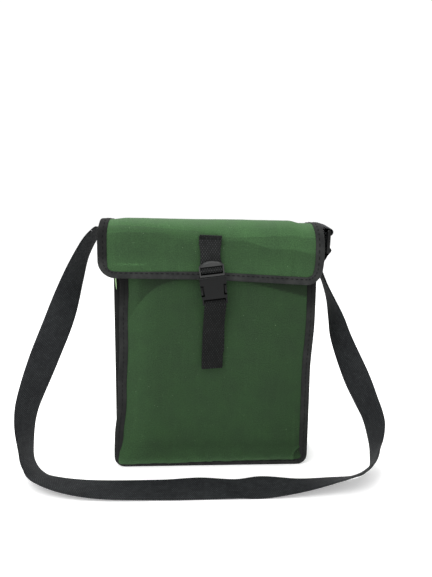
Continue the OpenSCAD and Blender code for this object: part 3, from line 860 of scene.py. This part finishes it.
def on_flap(p, depth):
    """A point of the flap's layout: p.x across it, -p.y down its length from the back lap."""
    s = -p.y
    place, run = profile.at(s), profile.along(s, 2.0)
    out = Vector((0, run.z, -run.y))
    rise = 4.7 - 0.006 * p.x - 2.1 * smooth((-100 - p.x) / 24) - 2.8 * smooth((p.x - 94) / 16)
    rise *= smooth((s - 24) / 26) * (1 - smooth((s - 104) / 22))
    drop = (-0.010 if p.x < 0 else -0.052) * p.x * smooth((s - 100) / 40) + 0.6 * smooth((s - 120) / 20)
    narrow = 0 if p.x < 0 else 0.018 + 0.014 * smooth((s - 122) / 26)
    top = 0.016 * smooth((112 - s) / 30)
    x = p.x * (1.003 - narrow - top * (0.5 if p.x < 0 else 0.8)) - FLAP_LEFT * smooth((s - 30) / 20)
    return Vector((x, place.y, place.z + rise + drop)) + out * (flap_wave(p.x, s) - depth)


def flap_painted_bands_and_rub(x, s):
    """The flap's painted light and shade: a light band over its top fold, a middle band and a dark
    front, with painted light low on its left and low down; and a rub low on its left.
    """
    # painted light over the flat top
    if s < TOP_ENDS:
        return 0.9
    drop = FLAP_TOP - profile.at(s).z
    first, second = painted_band_edges(x)
    soft = 0.8 + 5 * smooth((x + 78) / 40) * smooth((-2 - x) / 30)
    soft += 2 * smooth((30 - x) / 30) * smooth(x / 10)
    tone = 0.98 - 0.5 * smooth((drop - first + 0.4) / 0.8)
    tone -= 0.4 * smooth((drop - second + soft) / (2 * soft))
    # painted light low on the left and low down the front
    tone += 0.16 * smooth((-x - 85) / 40) * smooth((drop - 10) / 10) + 0.16 * smooth((drop - 36) / 16)
    rub = bell(drop - 51.6, 1.5) * smooth((x + 118) / 8) * smooth((-72 - x) / 10)
    return tone + 0.8 * rub * clamp(0.5 + 2 * wave(x / 3, drop / 1.2, 7.0))


def flap_layer(name, depths, material, n=130, m=150, start=0.0):
    def point(side, across, down):
        s = start + (FLAP_LONG - 1 - start) * down
        x = across * (FLAP_HALF - CLOTH_IN - corner_pull(FLAP_LONG - s - 1, FLAP_CORNER - 1))
        tone = flap_painted_bands_and_rub(x, s) if material == GREEN else 0.0
        return on_flap(Vector((x, -s, 0)), depths[side]), (x, s), tone

    return layered(name, n, m, material, point)


def on_hinge(piece, slot, *nodes):
    if nodes:
        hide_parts(*nodes)
    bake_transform(piece)


on_hinge(flap_layer("flap_canvas", (1.0, 2.1), GREEN), "green_canvas", "flap_panel")
on_hinge(flap_layer("flap_inner_cloth", (2.2, 3.2), INSIDE, 60, 90, 24.0),
         "green_lining", "flap_lining")
flap_line = flat_line(pocket(FLAP_HALF, -FLAP_LONG, 0, FLAP_CORNER))


def flap_tape_painted_light(p):
    """Painted light along the front edge and a little at the right, and painted shade down the left
    side.
    """
    low = smooth((p.y + FLAP_LONG - 30) / -20)
    return 0.2 * low - 0.5 * smooth((-p.x - 110) / 10) * (1 - low) + 0.05 * smooth((p.x - 90) / 20)


def flap_tape_width(p):
    """A little narrower along the bottom, most so at its left end."""
    low = smooth((p.y + FLAP_LONG - 2) / -14 + 1)
    return FLAP_TAPE - low * (1.6 + 1.4 * smooth((-20 - p.x) / 90))


on_hinge(edge_tape("flap_tape", flap_line, flap_tape_width, on_flap, FLAP_T, flap_tape_painted_light, 2.0),
         "black_tape", "flap_binding")
on_hinge(stitches("flap_tape_stitches", flap_line, on_flap, 6.6, 0.1, radius=0.5), "black_tape")
lap_line = Line([(-FLAP_HALF + 12, -4, 0), (FLAP_HALF - 12, -4, 0)])
on_hinge(stitches("flap_seam_stitches", lap_line, on_flap, 0, 0.95), "black_tape")

# ---- closure webbing and buckle ----

CLOSURE_W = 25.4
WEB_STEP = 0.65  # spacing of the closure webbing's stations
HEM_Z = 289.6
BUCKLE_X, BUCKLE_Z, LEAN = -6.2, 261.5, math.radians(7)
PLUG_BAR = (-47.0, -10.7)
SOCKET_BAR = (-47.5, -48.4)
LOOP_R = 3.1


def in_buckle(x, y, z):
    """A point of the buckle's frame: origin at the plug's lip, leaning."""
    return Vector((BUCKLE_X + x * math.cos(LEAN) - z * math.sin(LEAN), y,
                   BUCKLE_Z + x * math.sin(LEAN) + z * math.cos(LEAN)))


def arc(centre, radius, start, end, steps=12):
    return [(centre[0] + radius * math.cos(math.radians(start + (end - start) * k / steps)),
             centre[1] + radius * math.sin(math.radians(start + (end - start) * k / steps)))
            for k in range(steps + 1)]


def lay(points, step, across):
    """Even stations along a polyline of space points."""
    line = Line(points)
    count = int(line.length / step)
    marks = [line.length * k / count for k in range(count + 1)]
    return [(line.at(mark), across(mark)) for mark in marks]


lean_across = Vector((math.cos(LEAN), 0, math.sin(LEAN)))
level_across = Vector((1, 0, 0))


def weave(s, t):
    """The height of the closure webbing's diamonds."""
    return 0.28 * math.cos(math.tau * s / WEAVE_LONG) * math.cos(math.tau * t / WEAVE_WIDE)


def closure_upper():
    back, front = PLUG_BAR[0] + LOOP_R, PLUG_BAR[0] + LOOP_R - WEB_T - 0.2
    loop = arc(PLUG_BAR, LOOP_R, 0, -205, 18)
    path = [Vector((BUCKLE_X - 0.6, back + 1.1, HEM_Z)), Vector((BUCKLE_X - 0.4, back + 0.6, 281)),
            Vector((BUCKLE_X - 0.2, back, 268))]
    path += [in_buckle(0, y, z) for y, z in loop]
    path += [in_buckle(0, front - 0.5, -4), in_buckle(0, front, -1),
             Vector((BUCKLE_X - 0.2, front, 268)), Vector((BUCKLE_X - 0.4, front + 0.6, 281)),
             Vector((BUCKLE_X - 0.4, front + 1.1, HEM_Z))]
    total = Line(path).length

    def across(distance):
        lean = smooth(distance / 22) * smooth((total - distance) / 22)
        return level_across.lerp(lean_across, lean)

    def width(distance):
        """Gathered a little above the buckle."""
        near = min(distance, total - distance)
        return CLOSURE_W + 0.6 - 2.8 * smooth((near - 6) / 14) * smooth((36 - near) / 12)

    stations = lay(path, WEB_STEP, across)
    return webbing("closure_webbing_upper", stations, width, weave, CLOSURE, 38)


def hem():
    """The folded and stitched top end of the closure webbing."""
    middle = PLUG_BAR[0] + LOOP_R + 0.25
    rings, coords = [], []
    for k in range(50):
        t = k / 49
        x = BUCKLE_X + 0.2 + (t - 0.5) * (CLOSURE_W + 0.4)
        droop = -0.9 * (t - 0.5) + 0.2 * math.cos(math.tau * x / WEAVE_WIDE)
        section = [(-2.2, -3.2), (-2.9, -2.2), (-3.0, -0.4), (-2.3, 1.0), (0, 1.5), (1.5, 1.0),
                   (1.9, 0), (1.9, -3.2)]
        rings.append([Vector((x, middle + a, HEM_Z + droop + b)) for a, b in section])
        coords += [(x, a * 2 + b) for a, b in section]
    # the hem's points carry painted shade, darker than the rest of the webbing
    return make("closure_hem", *tube(rings), CLOSURE, coords, [-0.45] * len(coords))


def closure_lower():
    """Round the socket's bar and down to the loose raw end."""
    front = SOCKET_BAR[0] - LOOP_R
    bar_z = BUCKLE_Z + SOCKET_BAR[1]
    foot = -3.24  # middle of the raw end
    path = [in_buckle(0, -41.6, SOCKET_BAR[1] - 6),
            in_buckle(0, SOCKET_BAR[0] + LOOP_R, SOCKET_BAR[1] - 2)]
    path += [in_buckle(0, y, z) for y, z in arc(SOCKET_BAR, LOOP_R, 0, 180, 18)]
    path += [in_buckle(0, front, SOCKET_BAR[1] - 4), Vector((-0.7, front + 1.4, bar_z - 11)),
             Vector((-1.0, front + 4.4, bar_z - 18)), Vector((-1.5, -43.6, bar_z - 27)),
             Vector((-2.2, -43.0, bar_z - 42)), Vector((foot, -43.1, 131.2))]

    def across(distance):
        return lean_across.lerp(Vector((1, 0, -0.038)), smooth((distance - 20) / 14))

    stations = lay(path, WEB_STEP, across)
    piece = webbing("closure_webbing_tail", stations, CLOSURE_W, weave, CLOSURE, 38, tone=-0.5)
    # the raw end is cut a little on the slant
    low = min(v.co.z for v in piece.data.vertices)
    for v in piece.data.vertices:
        near = smooth((low + 0.012 - v.co.z) / 0.012)
        v.co.z += near * (v.co.x - foot * MM) * 0.09
    return piece


rides(closure_upper(), "flap", "black_webbing", "flap_webbing")
rides(hem(), "flap", "black_webbing")
rides(closure_lower(), "socket", "black_webbing", "closure_tail")


def front_strip():
    """Webbing sewn flat on the front panel under the loose tail."""
    low, high = node_box("front_webbing")
    x = (low.x + high.x) / 2
    stations = []
    for k in range(81):
        z = high.z - (high.z - low.z) * k / 80
        y = FRONT_FACE - front_swell(x, z) + front_drift(x, z)
        stations.append((Vector((x, y, z)), level_across))
    return webbing("front_webbing_strip", stations, CLOSURE_W - 1, weave, CLOSURE, 30)


def latch_arm(side):
    """A springy arm with its grip pad, which shows in the socket's side notch."""
    spine = [(6.9, -18.3), (9.5, -18.3), (12.3, -27.6), (13.4, -30), (13.4, -38), (12.4, -39.6),
             (9.9, -39.4), (9.7, -29)]
    pad = [(12.5, -28.9), (14.2, -28.6), (15.3, -29.6), (15.1, -32), (14.5, -34.2), (15.0, -36.4),
           (15.3, -38.6), (14.0, -39.7), (12.5, -39.4)]
    points, faces = [], []
    for outline, near, far in ((spine, -48.0, -45.6), (pad, -51.3, -45.4)):
        centre = Vector((sum(p[0] for p in outline), sum(p[1] for p in outline))) / len(outline)
        rings = []
        for y, share in ((near, 0.86), (near + 0.35, 0.97), (near + 0.8, 1.0), (far - 0.4, 1.0),
                         (far, 0.92)):
            flat = [centre.lerp(Vector(p), share) for p in outline]
            rings.append([in_buckle(side * p.x, y, p.y) for p in flat])
        join_tube(points, faces, rings)
    return make("moulded_arm_" + ("right" if side > 0 else "left"), points, faces, PLASTIC)


rides(latch_arm(-1), "arm_left", "black_plastic", "latch_arm_left")
rides(latch_arm(1), "arm_right", "black_plastic", "latch_arm_right")
rides(front_strip(), "root", "black_webbing", "front_webbing")

# ---- the strap's ends and the slider ----

SPLAY = math.atan((BACK_HALF - FRONT_HALF) / (BACK_FACE - FRONT_FACE - 6.8))
STRAP_Y = 6
ANCHOR_X = FRONT_HALF - SIDE_SEAM - CLOTH / 2 + (STRAP_Y - FRONT_FACE - 3.4) * math.tan(SPLAY)
WRAP_R = 3.3
SEWN_LEG = [(-WRAP_R, 262)] + arc((0, MOUTH - 1.7), WRAP_R, 180, 90, 10) + [(7, MOUTH + 0.8)]
END_STEP = 0.9  # spacing of the stations in the strap's ends
SLIDER_X = 140.8
SLIDER_Y = 2.5
SLIDER_BARS = (298, 286, 274.8)
BAR_WRAP = 3.4
TILTED = Vector((0.03, 1, 0.15)).normalized()  # along the slider's bars: its front end hangs lower


def from_wall(side, out, z):
    """A point drawn outwards from a gusset wall, on the strap's middle line."""
    return Vector((side * (ANCHOR_X + out * math.cos(SPLAY)), STRAP_Y - out * math.sin(SPLAY), z))


def wall_across(side):
    return Vector((side * math.sin(SPLAY), math.cos(SPLAY), 0))


def strap_end_left():
    """Sewn leg, over the mouth, and out to where the free strap starts."""
    line = Line([from_wall(-1, out, z) for out, z in SEWN_LEG])
    count = int(line.length / END_STEP)
    stations = [(line.at(line.length * k / count), wall_across(-1)) for k in range(count)]
    start, end = line.at(line.length), strap_stations[0][0]
    # the wall's slant turns into the strap's own direction on the way to where it starts
    for k in range(14):
        t = k / 14
        rise = Vector((0, 0, 1.6 * math.sin(math.pi * t)))
        across = wall_across(-1).lerp(Vector((0, 1, 0)), smooth(t))
        stations.append((start.lerp(end, t) + rise, across))
    return strap_webbing("strap_end_left", stations + strap_stations[:split + 1])


def slider_ribbon(name, path, turn=None):
    """Webbing about the slider, through (x, z) points.

    Over the stretch that turn names, its width swings from the wall's line to the bars' line.
    """
    points = [Vector((x, SLIDER_Y, z)) for x, z in path]

    def across(distance):
        share = smooth((distance - turn[0]) / (turn[1] - turn[0])) if turn else 1.0
        return wall_across(1).lerp(TILTED, share)

    return strap_webbing(name, lay(points, END_STEP, across))


def tab_right():
    """Sewn leg, over the mouth, out round the slider's top bar and back under itself."""
    path = [(ANCHOR_X + out * math.cos(SPLAY), z) for out, z in SEWN_LEG]
    path += [(125, 303.4), (129, 304.4), (134, 304.2), (138, 303)]
    path += arc((SLIDER_X + 0.6, SLIDER_BARS[0] - 0.4), BAR_WRAP + 0.8, 75, -75, 12)
    path += [(SLIDER_X - 1.5, 294.2), (SLIDER_X - 4.4, 297), (133, 300.2), (124, 301.2)]
    return slider_ribbon("strap_tab", path, (38, 56))


def loop_right():
    """The strap's end: round the slider's lowest bar and up inside its middle one."""
    end = strap_stations[-1][0]
    path = [(end.x - 1.1, end.z - 5), (end.x - 0.2, end.z), (SLIDER_X - 1, 267.6)]
    path += arc((SLIDER_X, SLIDER_BARS[2]), BAR_WRAP, -35, 85, 10)
    path += arc((SLIDER_X, SLIDER_BARS[1]), BAR_WRAP, 215, 75, 12)
    return slider_ribbon("strap_slider_loop", path)


def loop_return():
    """The strap's folded-back layer on the side towards the bag."""
    path = [(SLIDER_X - 2, 294.2), (SLIDER_X - 2.2, 287), (SLIDER_X - 2.8, 277),
            (SLIDER_X - 5.8, 266), (SLIDER_X - 9.6, 254)]
    return slider_ribbon("strap_return", path)


def slider():
    """Three-bar slider seen edge-on: two flat rails joined by three round bars."""
    points, faces = [], []

    def rod(a, b, wide, deep):
        run = (b - a).normalized()
        side = (level_across - run * level_across.dot(run)).normalized()
        other = run.cross(side)
        rings = []
        for share, size in ((0, 0.55), (0.012, 0.85), (0.03, 1), (0.97, 1), (0.988, 0.85), (1, 0.55)):
            ring = []
            for k in range(16):
                turn = math.tau * k / 16
                c, d = math.cos(turn), math.sin(turn)
                squareness = max(abs(c), abs(d)) ** -0.6
                spoke = side * c * wide + other * d * deep
                ring.append(a.lerp(b, share) + spoke * size * squareness)
            rings.append(ring)
        join_tube(points, faces, rings)

    middle = Vector((SLIDER_X, SLIDER_Y, 0))
    margin = 2.4  # how far the rails pass the webbing and the outer bars
    rail = STRAP_WIDTH / 2 + margin
    for z in SLIDER_BARS:
        centre = middle + Vector((0, 0, z))
        rod(centre - TILTED * rail, centre + TILTED * rail, 1.5, 1.5)
    for s in (-1, 1):
        foot = middle + TILTED * rail * s
        rod(foot + Vector((-0.8, 0, SLIDER_BARS[2] - margin)),
            foot + Vector((-0.1, 0, SLIDER_BARS[0] + margin)), 2.2, 1.9)
    return make("slider", points, faces, PLASTIC)


left_end = strap_end_left()
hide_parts("strap_anchor_left")
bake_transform(left_end)
tab = tab_right()
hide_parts("strap_tab_right", "strap_tab_loop")
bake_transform(tab)
rides(loop_right(), "strap", "strap_webbing", "strap_loop_right")
rides(loop_return(), "strap", "strap_webbing")
rides(slider(), "strap", "black_plastic", "strap_slider")

# ---- carried-over CAD parts ----

for node, look in (("buckle_plug", SHINY), ("buckle_socket", PLASTIC)):
    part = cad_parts[node]
    part.data.materials.clear()
    part.data.materials.append(look)
    bevel = part.modifiers.new("eased_edges", "BEVEL")
    bevel.width = 0.00045
    bevel.segments = 3
    bevel.limit_method = "ANGLE"
    bevel.angle_limit = math.radians(35)
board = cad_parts["base_board"]
board.data.materials.clear()
board.data.materials.append(BOARD)

# ---- floor ----

floor_mesh = bpy.data.meshes.new("floor")
floor_mesh.from_pydata([(-6, -6, 0), (6, -6, 0), (6, 6, 0), (-6, 6, 0)], [], [(0, 1, 2, 3)])
ground = Graph("floor").finish(Base_Color=(0.93, 0.93, 0.93, 1), Roughness=0.9,
                               Emission_Color=(1, 1, 1, 1), Emission_Strength=0.3)
floor_mesh.materials.append(ground)
placed("floor", floor_mesh)
